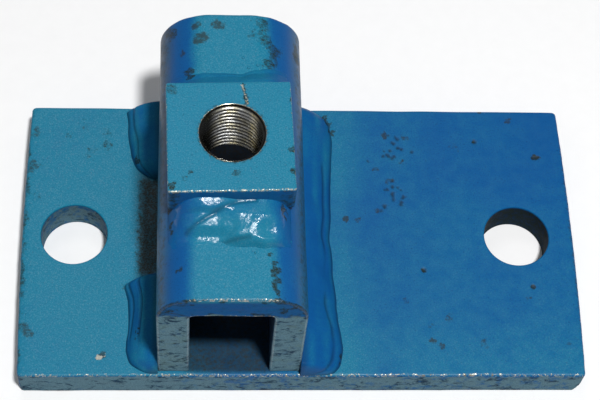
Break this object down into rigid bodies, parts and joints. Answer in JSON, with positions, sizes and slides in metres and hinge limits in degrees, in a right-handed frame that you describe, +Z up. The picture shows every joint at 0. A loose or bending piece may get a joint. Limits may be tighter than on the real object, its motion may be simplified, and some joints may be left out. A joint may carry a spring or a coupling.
{
  "type": "welded socket bracket",
  "caption": "Blue painted welded steel bracket: flat base plate with bolt holes, an inverted U channel socket across it and a tapped clamping block welded on top.",
  "frame": {"origin": "centre of the base plate's underside", "axes": "+X along the plate's long side, from the socket towards the clear end; +Y from the front of the socket to its rear; +Z up, out of the plate"},
  "size_m": [0.1476, 0.0822, 0.0612],
  "materials": {
    "blue_paint": "glossy enamel over mill-finish steel, speckled and chipped",
    "weld_paint": "glossy enamel over rippled weld metal"
  },
  "bodies": {
    "root": {"base_plate": "blue_paint", "socket_channel": "blue_paint", "tapped_block": "blue_paint", "weld_right": "weld_paint", "weld_left_front": "weld_paint", "weld_left_rear": "weld_paint", "weld_block_front_upper": "weld_paint", "weld_block_front_lower": "weld_paint", "weld_block_rear": "weld_paint"}
  },
  "joints": []
}
